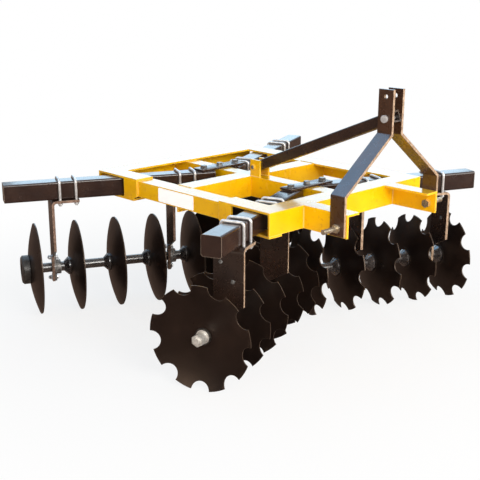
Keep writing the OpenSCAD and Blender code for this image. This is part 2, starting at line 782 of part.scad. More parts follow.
front_rail();
rear_rail();
middle_rail();
centre_rail();
right_side_rail();
left_side_rail();
front_strap();
rear_strap();
hitch_brackets();
right_mast_bar();
left_mast_bar();
lower_link_pins();
brace_pin();
brace_tube();
brace_clevis();
front_right_beam();
front_right_hangers();
front_right_bearings();
front_right_clamps();
front_right_discs();
front_right_spools();
front_right_axle();
front_left_beam();
front_left_hangers();
front_left_bearings();
front_left_clamps();
front_left_discs();
front_left_spools();
front_left_axle();
rear_right_beam();
rear_right_hangers();
rear_right_bearings();
rear_right_clamps();
rear_right_discs();
rear_right_spools();
rear_right_axle();
rear_left_beam();
rear_left_hangers();
rear_left_bearings();
rear_left_clamps();
rear_left_discs();
rear_left_spools();
rear_left_axle();
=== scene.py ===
# %% [markdown]
# A tandem disc harrow, dressed for a studio picture
#
# The steel solids of the harrow come in finished, each on the body that moves it. This lesson adds what a
# welder, a painter and a fitter would: weld beads, bolts, washers, the hairpin, the blank plate on the
# side rail, and the paint, zinc and iron finishes. All lengths are metres, in the harrow's own frame: +X
# is the machine's left, -Y is towards the tractor and +Z is up.

# %% Load the frame
import json
import math

import bpy
from mathutils import Matrix, Vector

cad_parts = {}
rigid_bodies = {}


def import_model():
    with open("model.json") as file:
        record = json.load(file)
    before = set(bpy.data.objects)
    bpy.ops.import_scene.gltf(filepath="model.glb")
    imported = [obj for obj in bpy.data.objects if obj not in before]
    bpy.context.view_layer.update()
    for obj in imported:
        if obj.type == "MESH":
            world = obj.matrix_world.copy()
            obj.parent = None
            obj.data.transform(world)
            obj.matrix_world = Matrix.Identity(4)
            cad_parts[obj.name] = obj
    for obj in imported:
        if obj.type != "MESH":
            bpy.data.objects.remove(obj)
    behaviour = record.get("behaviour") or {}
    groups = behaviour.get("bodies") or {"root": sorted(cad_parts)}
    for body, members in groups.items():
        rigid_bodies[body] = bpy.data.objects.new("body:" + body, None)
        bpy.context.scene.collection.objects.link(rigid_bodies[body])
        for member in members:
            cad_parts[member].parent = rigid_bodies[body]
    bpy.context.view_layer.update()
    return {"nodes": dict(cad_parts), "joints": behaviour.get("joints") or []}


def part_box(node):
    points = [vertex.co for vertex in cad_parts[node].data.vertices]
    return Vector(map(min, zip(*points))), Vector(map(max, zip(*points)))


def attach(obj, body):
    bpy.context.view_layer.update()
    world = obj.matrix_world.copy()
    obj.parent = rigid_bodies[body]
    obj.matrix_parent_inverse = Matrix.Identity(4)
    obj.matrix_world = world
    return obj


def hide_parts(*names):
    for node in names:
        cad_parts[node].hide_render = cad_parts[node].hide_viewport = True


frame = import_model()

# %% [markdown]
# The camera
#
# The picture was taken from the machine's front right corner, a little above the frame. A camera is
# easiest to place from what it looks at: a target on the machine's centre plane, a distance, and two
# angles. The lens follows from how large the machine is in the picture.

# %% Camera
CAMERA_TARGET = Vector((-0.0814, 0.0, 0.3661))
CAMERA_AZIMUTH = math.radians(-44.03)
CAMERA_ELEVATION = math.radians(16.23)
CAMERA_ROLL = math.radians(0.21)
CAMERA_DISTANCE = 4.5166
LENS_IN_PIXELS = 894.9
PICTURE_WIDTH = 480
SENSOR = 36.0

towards_camera = Vector((
    math.sin(CAMERA_AZIMUTH) * math.cos(CAMERA_ELEVATION),
    -math.cos(CAMERA_AZIMUTH) * math.cos(CAMERA_ELEVATION),
    math.sin(CAMERA_ELEVATION),
))
camera_data = bpy.data.cameras.new("camera")
camera_data.sensor_width = SENSOR
camera_data.lens = LENS_IN_PIXELS / PICTURE_WIDTH * SENSOR
camera_data.clip_end = 100
camera = bpy.data.objects.new("camera", camera_data)
bpy.context.scene.collection.objects.link(camera)
camera.rotation_mode = "QUATERNION"
camera.location = CAMERA_TARGET + towards_camera * CAMERA_DISTANCE
aim = (-towards_camera).to_track_quat("-Z", "Y").to_matrix()
camera.rotation_quaternion = (aim @ Matrix.Rotation(CAMERA_ROLL, 3, "Z")).to_quaternion()
bpy.context.scene.camera = camera
print("lens", round(camera_data.lens, 1), "mm, camera height", round(camera.location.z, 3), "m")

# %% [markdown]
# Selecting in code
#
# An operator acts on everything that is selected, and a freshly loaded scene has all its nodes selected.
# Each piece therefore starts from nothing selected, and its faces and edges are then chosen by their
# place. These few helpers do that, and are used for every piece.


# %% Helpers that select
def clear_selection():
    for item in bpy.data.objects:
        item.select_set(False)


def only(piece):
    clear_selection()
    piece.select_set(True)
    bpy.context.view_layer.objects.active = piece


def edit(piece, mode="FACE"):
    only(piece)
    bpy.ops.object.mode_set(mode="EDIT")
    bpy.ops.mesh.select_mode(type=mode)
    bpy.ops.mesh.select_all(action="DESELECT")
    bpy.ops.object.mode_set(mode="OBJECT")


def pick_faces(piece, wanted):
    edit(piece, "FACE")
    for face in piece.data.polygons:
        face.select = wanted(face)
    bpy.ops.object.mode_set(mode="EDIT")


def pick_edges(piece, wanted):
    edit(piece, "EDGE")
    points = piece.data.vertices
    for edge in piece.data.edges:
        edge.select = wanted(points[edge.vertices[0]].co, points[edge.vertices[1]].co)
    bpy.ops.object.mode_set(mode="EDIT")


def leave_edit():
    bpy.ops.object.mode_set(mode="OBJECT")


def settle(piece):
    only(piece)
    bpy.ops.object.transform_apply(location=True, rotation=True, scale=True)


def smooth(piece, degrees=35):
    only(piece)
    bpy.ops.object.shade_smooth_by_angle(angle=math.radians(degrees))


def join(pieces, name):
    clear_selection()
    for item in pieces:
        item.select_set(True)
    bpy.context.view_layer.objects.active = pieces[0]
    if len(pieces) > 1:
        bpy.ops.object.join()
    whole = bpy.context.view_layer.objects.active
    whole.name = name
    whole.data.name = name
    return whole


# %% [markdown]
# Copies
#
# A machine like this is held by dozens of equal bolts. One is modelled, standing on the ground at the
# origin and pointing up, and each copy gets its own mesh, turned and moved by a matrix. That keeps every
# finished piece's own origin at the machine's origin, so that patterns in its material stay put.


# %% Copy a master to many places
def placed(master, spot, up, turn=0.0):
    copy = master.copy()
    copy.data = master.data.copy()
    bpy.context.scene.collection.objects.link(copy)
    tilt = Vector(up).normalized().to_track_quat("Z", "Y").to_matrix().to_4x4()
    spin = Matrix.Rotation(turn, 4, "Z")
    copy.data.transform(Matrix.Translation(Vector(spot)) @ tilt @ spin)
    return copy


def drop(*masters):
    for master in masters:
        bpy.data.objects.remove(master)


# %% [markdown]
# Where the gangs are
#
# Each gang has its own frame: it starts at the pivot bolt, X runs outboard along the beam, Y to the rear
# and Z up. The joints say where that frame is, so nothing is measured twice. The right-hand gangs mirror
# the left.

# %% The gangs' own frames
joints = {joint["name"]: joint for joint in frame["joints"]}
GANG_NAMES = [f"{place}_{side}" for place in ("front", "rear") for side in ("right", "left")]


def gang_matrix(gang):
    pivot = Vector(joints[gang + "_angle"]["pos_m"])
    outboard = Vector(joints[gang + "_spin"]["axis"]).normalized()
    rearward = Vector((0, 0, 1)).cross(outboard)
    if rearward.y < 0:
        rearward = -rearward
    matrix = Matrix.Identity(4)
    for row in range(3):
        matrix[row][0] = outboard[row]
        matrix[row][1] = rearward[row]
    matrix[0][3] = pivot.x
    matrix[1][3] = pivot.y
    return matrix


gang_frame = {gang: gang_matrix(gang) for gang in GANG_NAMES}


def spot_on(gang, x, y, z):
    return gang_frame[gang] @ Vector((x, y, z))


def way_on(gang, x, y, z):
    return (gang_frame[gang].to_3x3() @ Vector((x, y, z))).normalized()


for gang in GANG_NAMES:
    print(gang, "starts at", [round(v, 3) for v in gang_frame[gang].translation])

# %% [markdown]
# Sizes that the fittings share
#
# These repeat the harrow's main sizes: the rails, the beams and the hangers' stations along each beam.
# Heights are measured down from the frame's top, as on the real machine.

# %% Shared sizes
FRAME_W = 1.060
ANGLE_T = 0.0095
RAIL_LEG = 0.1016
SIDE_LEG = 0.0762
BEAM_W = 0.0889
BEAM_GAP = 0.0016
AXLE_BACK = 0.085
DISC_R = 0.2286
HANGER_T = 0.0127
BEARING_H = 0.138
BEARING_BOLT_IN = 0.016
BEARING_FLANGE_T = 0.012
UBOLT_R = 0.00635
UBOLT_FIT = 0.0003
PIVOT_X = 0.110
BOLT_R = 0.0095

top_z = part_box("front_rail")[1][2]
front_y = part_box("front_rail")[0][1]
rear_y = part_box("rear_rail")[1][1]
middle_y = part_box("middle_rail")[0][1]
low_top_z = top_z - ANGLE_T
low_rail_z = low_top_z - RAIL_LEG
beam_top = low_top_z - BEAM_GAP
beam_bottom = beam_top - BEAM_W
foot_bottom = beam_bottom - HANGER_T

# Each hanger's station along its beam, and the way that its foot points: 1 is outboard
HANGERS = {"front": ((0.194, 1), (0.686, -1)), "rear": ((0.178, -1), (0.778, -1))}

# How far each U-bolt stands from its hanger's plate
UBOLTS = {"front": (0.030, 0.100), "rear": (0.038, 0.116)}
print("frame top", round(top_z, 4), "beams hang from", round(beam_top, 4))

# %% [markdown]
# The studio
#
# The background is plain white. What gloss paint mirrors is set apart from what the camera sees: a sky
# that is dark along the horizon and cool and bright above it. Upright faces then stay deep in colour,
# because they mirror the horizon, and the tops of the tubes shine, because they mirror the sky behind the
# machine. Each sky is a ramp from the horizon at 0 to the zenith at 1. A broad warm lamp lights the
# front, a fill lamp reaches inside the frame, an amber one warms the right side, and two blue lamps
# behind the machine are there to be mirrored.

# %% World
ROOM_SKY = ((0.0, (1.0, 0.96, 0.90)), (0.35, (0.72, 0.71, 0.70)), (0.70, (0.11, 0.11, 0.11)))
MIRRORED_SKY = ((0.0, (0.10, 0.07, 0.055)), (0.07, (0.30, 0.29, 0.29)), (0.22, (0.50, 0.60, 0.70)),
                (1.0, (0.95, 0.98, 1.0)))


def set_stops(node, stops):
    elements = node.color_ramp.elements
    while len(elements) < len(stops):
        elements.new(0.5)
    for element, (position, colour) in zip(elements, stops):
        element.position = position
        element.color = (*colour, 1)


def build_world():
    world = bpy.data.worlds.new("studio")
    bpy.context.scene.world = world
    world.use_nodes = True
    nodes, links = world.node_tree.nodes, world.node_tree.links
    nodes.clear()
    out = nodes.new("ShaderNodeOutputWorld")
    path = nodes.new("ShaderNodeLightPath")
    white = nodes.new("ShaderNodeBackground")
    white.inputs["Color"].default_value = (1, 1, 1, 1)
    way = nodes.new("ShaderNodeTexCoord")
    split = nodes.new("ShaderNodeSeparateXYZ")
    links.new(way.outputs["Generated"], split.inputs[0])

    def sky(stops):
        shade = nodes.new("ShaderNodeValToRGB")
        set_stops(shade, stops)
        links.new(split.outputs["Z"], shade.inputs["Fac"])
        light = nodes.new("ShaderNodeBackground")
        links.new(shade.outputs["Color"], light.inputs["Color"])
        return light

    room = sky(ROOM_SKY)
    mirrored = sky(MIRRORED_SKY)
    glossy = nodes.new("ShaderNodeMixShader")
    links.new(path.outputs["Is Glossy Ray"], glossy.inputs["Fac"])
    links.new(room.outputs[0], glossy.inputs[1])
    links.new(mirrored.outputs[0], glossy.inputs[2])
    seen = nodes.new("ShaderNodeMixShader")
    links.new(path.outputs["Is Camera Ray"], seen.inputs["Fac"])
    links.new(glossy.outputs[0], seen.inputs[1])
    links.new(white.outputs[0], seen.inputs[2])
    links.new(seen.outputs[0], out.inputs["Surface"])


def lamp(name, spot, aim_height, size, watts, colour):
    data = bpy.data.lights.new(name, "AREA")
    data.shape = "RECTANGLE"
    data.size, data.size_y = size
    data.energy = watts
    data.color = colour
    item = bpy.data.objects.new(name, data)
    bpy.context.scene.collection.objects.link(item)
    item.location = spot
    aim_at = Vector((0, 0, aim_height))
    item.rotation_euler = (aim_at - Vector(spot)).to_track_quat("-Z", "Y").to_euler()
    item.visible_camera = False


WARM_WHITE = (1.0, 0.955, 0.89)
AMBER = (1.0, 0.84, 0.66)
PALE_BLUE = (0.56, 0.80, 1.0)
DEEP_BLUE = (0.17, 0.55, 1.0)

build_world()
lamp("front lamp", (0.9, -6.4, 2.3), aim_height=0.5, size=(7.0, 4.0), watts=375, colour=WARM_WHITE)
lamp("side lamp", (-6.2, -1.6, 1.9), aim_height=0.4, size=(3.0, 2.2), watts=75, colour=AMBER)
lamp("fill lamp", (-1.8, -5.6, 3.4), aim_height=0.5, size=(3.0, 2.0), watts=185, colour=WARM_WHITE)
lamp("back lamp", (4.2, 4.4, 2.3), aim_height=0.7, size=(5.5, 3.0), watts=92, colour=PALE_BLUE)
lamp("high lamp", (-0.8, 3.4, 5.2), aim_height=0.9, size=(2.8, 2.8), watts=74, colour=DEEP_BLUE)

# %% [markdown]
# The floor
#
# The floor is a wide pale plane. For the camera, part of its colour is its own light, a part that grows
# with the distance, so that the floor fades into the white background and keeps the harrow's shadow. In
# reflections it is a dim warm brown, which is what gives black paint its brown.

# %% Floor
FLOOR_SIZE = 80
FLOOR_WHITE = (0.88, 0.87, 0.86, 1)
FLOOR_IN_PAINT = (0.19, 0.125, 0.095, 1)
GLOW = {"From Min": 0.5, "From Max": 2.6, "To Min": 0.80, "To Max": 1.0}


def build_floor():
    clear_selection()
    bpy.ops.mesh.primitive_plane_add(size=FLOOR_SIZE, location=(0, 0, 0))
    floor = bpy.context.active_object
    floor.name = "floor"
    paint = bpy.data.materials.new("floor_white")
    paint.use_nodes = True
    nodes, links = paint.node_tree.nodes, paint.node_tree.links
    nodes.clear()
    out = nodes.new("ShaderNodeOutputMaterial")
    matt = nodes.new("ShaderNodeBsdfDiffuse")
    matt.inputs["Color"].default_value = FLOOR_WHITE
    glow = nodes.new("ShaderNodeEmission")
    path = nodes.new("ShaderNodeLightPath")
    place = nodes.new("ShaderNodeTexCoord")
    length = nodes.new("ShaderNodeVectorMath")
    length.operation = "LENGTH"
    fade = nodes.new("ShaderNodeMapRange")
    fade.interpolation_type = "SMOOTHSTEP"
    for socket, value in GLOW.items():
        fade.inputs[socket].default_value = value
    share = nodes.new("ShaderNodeMath")
    share.operation = "MULTIPLY"
    links.new(place.outputs["Object"], length.inputs[0])
    links.new(length.outputs["Value"], fade.inputs["Value"])
    links.new(fade.outputs["Result"], share.inputs[0])
    links.new(path.outputs["Is Camera Ray"], share.inputs[1])
    seen = nodes.new("ShaderNodeMixShader")
    links.new(share.outputs[0], seen.inputs["Fac"])
    links.new(matt.outputs[0], seen.inputs[1])
    links.new(glow.outputs[0], seen.inputs[2])
    brown = nodes.new("ShaderNodeEmission")
    brown.inputs["Color"].default_value = FLOOR_IN_PAINT
    mirrored = nodes.new("ShaderNodeMixShader")
    links.new(path.outputs["Is Glossy Ray"], mirrored.inputs["Fac"])
    links.new(seen.outputs[0], mirrored.inputs[1])
    links.new(brown.outputs[0], mirrored.inputs[2])
    links.new(mirrored.outputs[0], out.inputs["Surface"])
    floor.data.materials.append(paint)


build_floor()
bpy.context.scene.view_settings.view_transform = "Standard"

# %% [markdown]
# Building a finish
#
# Sprayed paint is never one colour: it pools and thins, it has a fine orange peel, and it is polished or
# scuffed in patches. A noise pattern on Object coordinates gives each of these at its own scale. A Bevel
# node rounds the shading of the sharp steel edges a little, so that they catch the light as ground edges
# do. The same node marks the edges, by how far its normal parts from the flat one, and there the colour is
# made paler: partly wear, partly a painted highlight where the edges catch the light.


# %% Helpers for materials
def new_finish(name):
    material = bpy.data.materials.new(name)
    material.use_nodes = True
    tree = material.node_tree
    shader = tree.nodes["Principled BSDF"]
    place = tree.nodes.new("ShaderNodeTexCoord")
    return material, tree, shader, place


def noise(tree, place, scale, detail):
    texture = tree.nodes.new("ShaderNodeTexNoise")
    texture.inputs["Scale"].default_value = scale
    texture.inputs["Detail"].default_value = detail
    tree.links.new(place.outputs["Object"], texture.inputs["Vector"])
    return texture.outputs["Fac"]


def ramp(tree, value, stops):
    node = tree.nodes.new("ShaderNodeValToRGB")
    set_stops(node, stops)
    tree.links.new(value, node.inputs["Fac"])
    return node.outputs["Color"]


def spread(tree, value, low, high, start=0.0, end=1.0):
    node = tree.nodes.new("ShaderNodeMapRange")
    node.inputs["From Min"].default_value = start
    node.inputs["From Max"].default_value = end
    node.inputs["To Min"].default_value = low
    node.inputs["To Max"].default_value = high
    tree.links.new(value, node.inputs["Value"])
    return node.outputs["Result"]


def mix_colour(tree, share, first, second):
    node = tree.nodes.new("ShaderNodeMix")
    node.data_type = "RGBA"
    tree.links.new(share, node.inputs[0])
    for socket, value in ((node.inputs[6], first), (node.inputs[7], second)):
        if isinstance(value, tuple):
            socket.default_value = (*value, 1)
        else:
            tree.links.new(value, socket)
    return node.outputs[2]


def soft_edges(tree, shader, height, strength, distance, radius=0.0018):
    round_off = tree.nodes.new("ShaderNodeBevel")
    round_off.samples = 4
    round_off.inputs["Radius"].default_value = radius
    bump = tree.nodes.new("ShaderNodeBump")
    bump.inputs["Strength"].default_value = strength
    bump.inputs["Distance"].default_value = distance
    tree.links.new(height, bump.inputs["Height"])
    tree.links.new(round_off.outputs[0], bump.inputs["Normal"])
    tree.links.new(bump.outputs[0], shader.inputs["Normal"])


def roughen(tree, shader, place, scale, detail, low, high):
    patches = noise(tree, place, scale, detail)
    tree.links.new(spread(tree, patches, low, high), shader.inputs["Roughness"])


def gloss_coat(shader, weight, roughness):
    shader.inputs["Coat Weight"].default_value = weight
    shader.inputs["Coat Roughness"].default_value = roughness


# The cosines between the two normals at which the paler edge colour, wear and painted highlight, starts and
# at which it is full
EDGE_WEAR_AND_HIGHLIGHT_STARTS = 0.998
EDGE_WEAR_AND_HIGHLIGHT_FULL = 0.95


# Marks the edges, where the colour is made paler: partly wear, partly a painted highlight where edges catch
# the light.
def edge_wear_and_highlight_mask(tree, radius):
    round_off = tree.nodes.new("ShaderNodeBevel")
    round_off.samples = 6
    round_off.inputs["Radius"].default_value = radius
    flat = tree.nodes.new("ShaderNodeNewGeometry")
    dot = tree.nodes.new("ShaderNodeVectorMath")
    dot.operation = "DOT_PRODUCT"
    tree.links.new(round_off.outputs[0], dot.inputs[0])
    tree.links.new(flat.outputs["Normal"], dot.inputs[1])
    return spread(tree, dot.outputs["Value"], 1.0, 0.0, EDGE_WEAR_AND_HIGHLIGHT_FULL, EDGE_WEAR_AND_HIGHLIGHT_STARTS)


# %% [markdown]
# Yellow enamel
#
# The frame is sprayed in a warm chrome yellow. The coat is thick and glossy, a touch deeper where it
# pools, and pale along the edges: partly worn where they are handled and knocked, partly a painted
# highlight where they catch the light.


# %% Yellow enamel
def yellow_enamel():
    material, tree, shader, place = new_finish("yellow_enamel")
    pools = ramp(tree, noise(tree, place, scale=7.0, detail=4.0), (
        (0.30, (0.90, 0.45, 0.001)), (0.55, (0.96, 0.52, 0.001)), (0.75, (0.99, 0.57, 0.002)),
    ))
    specks = spread(tree, noise(tree, place, scale=55.0, detail=6.0), low=0.0, high=1.0, start=0.60, end=0.72)
    scuffed = mix_colour(tree, specks, pools, (0.78, 0.36, 0.01))
    # Paler edges: partly wear, partly a painted highlight where the edges catch the light.
    surface_colour = mix_colour(tree, edge_wear_and_highlight_mask(tree, radius=0.0022), scuffed, (1.0, 0.72, 0.22))
    tree.links.new(surface_colour, shader.inputs["Base Color"])
    roughen(tree, shader, place, scale=18.0, detail=5.0, low=0.16, high=0.34)
    gloss_coat(shader, weight=0.7, roughness=0.10)
    grain = noise(tree, place, scale=420.0, detail=2.0)
    soft_edges(tree, shader, grain, strength=0.10, distance=0.0006)
    return material


# %% [markdown]
# Black enamel
#
# The tubes and straps are a black with brown in it, which shows where light grazes them. Gloss carries the
# look: the tops mirror the blue lamps, and the coat has a fine orange peel like the yellow's. The corners
# are paler, partly from wear and partly as a painted highlight where they catch the light.


# %% Black enamel
def black_enamel():
    material, tree, shader, place = new_finish("black_enamel")
    patches = ramp(tree, noise(tree, place, scale=9.0, detail=4.0), (
        (0.30, (0.018, 0.0085, 0.0070)),
        (0.60, (0.032, 0.0155, 0.0110)),
        (0.80, (0.050, 0.0245, 0.0160)),
    ))
    # Pale tan corners: partly wear, partly a painted highlight where the corners catch the light.
    surface_colour = mix_colour(tree, edge_wear_and_highlight_mask(tree, radius=0.0020), patches, (0.38, 0.30, 0.235))
    tree.links.new(surface_colour, shader.inputs["Base Color"])
    roughen(tree, shader, place, scale=26.0, detail=5.0, low=0.14, high=0.34)
    gloss_coat(shader, weight=0.5, roughness=0.12)
    grain = noise(tree, place, scale=380.0, detail=2.0)
    soft_edges(tree, shader, grain, strength=0.10, distance=0.0006)
    return material


# %% [markdown]
# Disc paint
#
# A disc is rolled from hard steel and dipped in thin black paint. The paint follows the fine rings that
# rolling leaves, and these spread a highlight into a wedge. The rings lie round the gang's axle, so each
# gang has its own copy of the finish, with its axle's place and direction in a Mapping node.


# %% Round a gang's axle
def axle_vector(tree, place, gang):
    axle_point = spot_on(gang, 0, AXLE_BACK, DISC_R)
    along = way_on(gang, 1, 0, 0)
    to_axle = along.to_track_quat("Z", "Y").to_matrix().to_4x4().inverted()
    turned = tree.nodes.new("ShaderNodeMapping")
    turned.vector_type = "POINT"
    turned.inputs["Rotation"].default_value = to_axle.to_euler("XYZ")
    turned.inputs["Location"].default_value = -(to_axle @ axle_point)
    tree.links.new(place.outputs["Object"], turned.inputs["Vector"])
    return turned.outputs[0]


def axle_radius(tree, place, gang):
    split = tree.nodes.new("ShaderNodeSeparateXYZ")
    tree.links.new(axle_vector(tree, place, gang), split.inputs[0])
    flat = tree.nodes.new("ShaderNodeCombineXYZ")
    tree.links.new(split.outputs["X"], flat.inputs["X"])
    tree.links.new(split.outputs["Y"], flat.inputs["Y"])
    length = tree.nodes.new("ShaderNodeVectorMath")
    length.operation = "LENGTH"
    tree.links.new(flat.outputs[0], length.inputs[0])
    return length.outputs["Value"]


def rings(tree, place, gang, scale, distortion):
    wave = tree.nodes.new("ShaderNodeTexWave")
    wave.wave_type = "RINGS"
    wave.rings_direction = "Z"
    wave.inputs["Scale"].default_value = scale
    wave.inputs["Distortion"].default_value = distortion
    wave.inputs["Detail"].default_value = 2.0
    wave.inputs["Detail Scale"].default_value = 2.0
    tree.links.new(axle_vector(tree, place, gang), wave.inputs["Vector"])
    return wave.outputs["Fac"]


# %% Disc paint
# The band near the rim, as distances from the axle, where a painted warm reflection is laid on
PAINTED_REFLECTION_FROM = 0.200
PAINTED_REFLECTION_TO = 0.232


def disc_paint(gang):
    material, tree, shader, place = new_finish("disc_paint_" + gang)
    patches = ramp(tree, noise(tree, place, scale=6.0, detail=5.0), (
        (0.30, (0.0065, 0.0040, 0.0036)),
        (0.58, (0.0115, 0.0068, 0.0056)),
        (0.80, (0.0230, 0.0132, 0.0096)),
    ))
    from_axle = axle_radius(tree, place, gang)
    # A lighter brown in patches near the rim is a painted warm reflection.
    rim_reflection_band = spread(tree, from_axle, low=0.0, high=1.0, start=PAINTED_REFLECTION_FROM, end=PAINTED_REFLECTION_TO)
    rim_reflection_patches = spread(tree, noise(tree, place, scale=34.0, detail=6.0), low=0.0, high=0.6, start=0.52, end=0.80)
    both = tree.nodes.new("ShaderNodeMath")
    both.operation = "MULTIPLY"
    tree.links.new(rim_reflection_band, both.inputs[0])
    tree.links.new(rim_reflection_patches, both.inputs[1])
    with_rim_reflection = mix_colour(tree, both.outputs[0], patches, (0.075, 0.048, 0.032))
    # Paler disc edges: partly wear, partly a painted highlight where the edges catch the light.
    surface_colour = mix_colour(tree, edge_wear_and_highlight_mask(tree, radius=0.0016), with_rim_reflection, (0.13, 0.092, 0.066))
    tree.links.new(surface_colour, shader.inputs["Base Color"])
    roughen(tree, shader, place, scale=20.0, detail=5.0, low=0.22, high=0.42)
    shader.inputs["Specular IOR Level"].default_value = 0.38
    shader.inputs["Specular Tint"].default_value = (1.0, 0.74, 0.58, 1)
    gloss_coat(shader, weight=0.10, roughness=0.22)
    grain = rings(tree, place, gang, scale=90.0, distortion=1.2)
    soft_edges(tree, shader, grain, strength=0.12, distance=0.0004, radius=0.0012)
    return material


# %% [markdown]
# Zinc, iron and bare plate
#
# Zinc clouds unevenly. It is bright on the U-bolts, yellow on the hitch pins and dull on the older bolts.
# The bearings are sand-cast iron with a grainy skin, and the bumper castings are the same iron painted
# black. The hangers and the mast bars are black like the beams, but their flame-cut edges are bare steel,
# painted a pale tan that is partly a highlight where they catch the front light; on the rear gangs' hangers
# the same edges are a darker brown, which is painted shade. A cut edge points across the plate's bend, so
# a dot product of the normal with that direction finds it. The blank plate's white has a faint light of its
# own, which keeps it white on a side that turns from the lamps.


# %% Zinc
def plated(name, stops, metal, smoothest, roughest):
    material, tree, shader, place = new_finish(name)
    clouds = ramp(tree, noise(tree, place, scale=60.0, detail=5.0), stops)
    tree.links.new(clouds, shader.inputs["Base Color"])
    roughen(tree, shader, place, scale=140.0, detail=4.0, low=smoothest, high=roughest)
    shader.inputs["Metallic"].default_value = metal
    grain = noise(tree, place, scale=700.0, detail=2.0)
    soft_edges(tree, shader, grain, strength=0.12, distance=0.0003, radius=0.0010)
    return material


def bright_zinc():
    return plated("bright_zinc", (
        (0.30, (0.60, 0.59, 0.59)), (0.55, (0.80, 0.80, 0.81)), (0.75, (0.93, 0.93, 0.94)),
    ), metal=0.60, smoothest=0.20, roughest=0.42)


def gold_zinc():
    return plated("gold_zinc", (
        (0.30, (0.60, 0.47, 0.32)), (0.55, (0.84, 0.72, 0.54)), (0.75, (0.96, 0.88, 0.74)),
    ), metal=0.85, smoothest=0.10, roughest=0.22)


def dull_zinc():
    return plated("dull_zinc", (
        (0.30, (0.10, 0.098, 0.095)), (0.55, (0.20, 0.197, 0.195)), (0.75, (0.34, 0.337, 0.335)),
    ), metal=0.60, smoothest=0.18, roughest=0.36)


# %% Cast iron
def cast_iron():
    material, tree, shader, place = new_finish("cast_iron")
    skin = ramp(tree, noise(tree, place, scale=80.0, detail=6.0), (
        (0.35, (0.12, 0.112, 0.105)), (0.70, (0.40, 0.38, 0.36)),
    ))
    tree.links.new(skin, shader.inputs["Base Color"])
    roughen(tree, shader, place, scale=45.0, detail=4.0, low=0.36, high=0.60)
    shader.inputs["Metallic"].default_value = 0.45
    grain = noise(tree, place, scale=260.0, detail=5.0)
    soft_edges(tree, shader, grain, strength=0.35, distance=0.0008, radius=0.0020)
    return material


# %% Spool tubes
def spool_finish():
    material, tree, shader, place = new_finish("spool_finish")
    surface_colour = ramp(tree, noise(tree, place, scale=24.0, detail=5.0), (
        (0.35, (0.022, 0.017, 0.016)), (0.72, (0.085, 0.072, 0.068)),
    ))
    tree.links.new(surface_colour, shader.inputs["Base Color"])
    roughen(tree, shader, place, scale=50.0, detail=4.0, low=0.18, high=0.36)
    shader.inputs["Specular IOR Level"].default_value = 0.9
    gloss_coat(shader, weight=0.8, roughness=0.10)
    grain = noise(tree, place, scale=300.0, detail=3.0)
    soft_edges(tree, shader, grain, strength=0.15, distance=0.0005)
    return material


# %% Axle and its end castings
STEEL_TO = 0.0290
IRON_FROM = 0.0300


def axle_finish(gang):
    material, tree, shader, place = new_finish("axle_finish_" + gang)
    casting = spread(tree, axle_radius(tree, place, gang), low=0.0, high=1.0, start=STEEL_TO, end=IRON_FROM)
    steel = ramp(tree, noise(tree, place, scale=60.0, detail=5.0), (
        (0.30, (0.52, 0.49, 0.45)), (0.70, (0.88, 0.86, 0.82)),
    ))
    iron = ramp(tree, noise(tree, place, scale=80.0, detail=6.0), (
        (0.35, (0.014, 0.012, 0.011)), (0.75, (0.050, 0.042, 0.036)),
    ))
    tree.links.new(mix_colour(tree, casting, steel, iron), shader.inputs["Base Color"])
    tree.links.new(spread(tree, casting, low=0.60, high=0.0), shader.inputs["Metallic"])
    roughen(tree, shader, place, scale=50.0, detail=4.0, low=0.25, high=0.45)
    grain = noise(tree, place, scale=260.0, detail=4.0)
    soft_edges(tree, shader, grain, strength=0.20, distance=0.0005, radius=0.0020)
    return material


# %% Painted plate with bare cut edges
def cut_plate(name, edge_way, paint_stops, bare_and_painted_light_stops):
    material, tree, shader, place = new_finish(name)
    dot = tree.nodes.new("ShaderNodeVectorMath")
    dot.operation = "DOT_PRODUCT"
    dot.inputs[1].default_value = edge_way
    tree.links.new(place.outputs["Normal"], dot.inputs[0])
    size = tree.nodes.new("ShaderNodeMath")
    size.operation = "ABSOLUTE"
    tree.links.new(dot.outputs["Value"], size.inputs[0])
    cut_edge = spread(tree, size.outputs[0], low=0.0, high=1.0, start=0.45, end=0.60)
    paint = ramp(tree, noise(tree, place, scale=5.0, detail=2.5), paint_stops)
    bare_with_painted_light = ramp(tree, noise(tree, place, scale=70.0, detail=5.0), bare_and_painted_light_stops)
    tree.links.new(mix_colour(tree, cut_edge, paint, bare_with_painted_light), shader.inputs["Base Color"])
    roughen(tree, shader, place, scale=30.0, detail=5.0, low=0.18, high=0.38)
    gloss_coat(shader, weight=0.4, roughness=0.14)
    grain = noise(tree, place, scale=320.0, detail=3.0)
    soft_edges(tree, shader, grain, strength=0.12, distance=0.0006)
    return material


PLATE_PAINT = ((0.30, (0.014, 0.0080, 0.0065)), (0.70, (0.036, 0.0190, 0.0130)))
MAST_PAINT = ((0.30, (0.034, 0.0140, 0.0075)), (0.70, (0.074, 0.0310, 0.0150)))
# Bare cut steel, made a pale tan that is partly a painted highlight where the edges catch the front light
BARE_TAN_WITH_PAINTED_HIGHLIGHT = ((0.35, (0.24, 0.155, 0.10)), (0.70, (0.52, 0.37, 0.26)))
# A darker copy of the same bare steel for the rear gangs' hangers: painted shade
BARE_BROWN_IN_PAINTED_SHADE = ((0.35, (0.14, 0.085, 0.060)), (0.70, (0.30, 0.19, 0.14)))


def hanger_plate(gang):
    bare_with_painted_light = BARE_TAN_WITH_PAINTED_HIGHLIGHT if gang.startswith("front") else BARE_BROWN_IN_PAINTED_SHADE
    return cut_plate("hanger_plate_" + gang, way_on(gang, 0, 1, 0), PLATE_PAINT, bare_with_painted_light)


def mast_plate():
    return cut_plate("mast_plate", Vector((0, 1, 0)), MAST_PAINT, BARE_TAN_WITH_PAINTED_HIGHLIGHT)


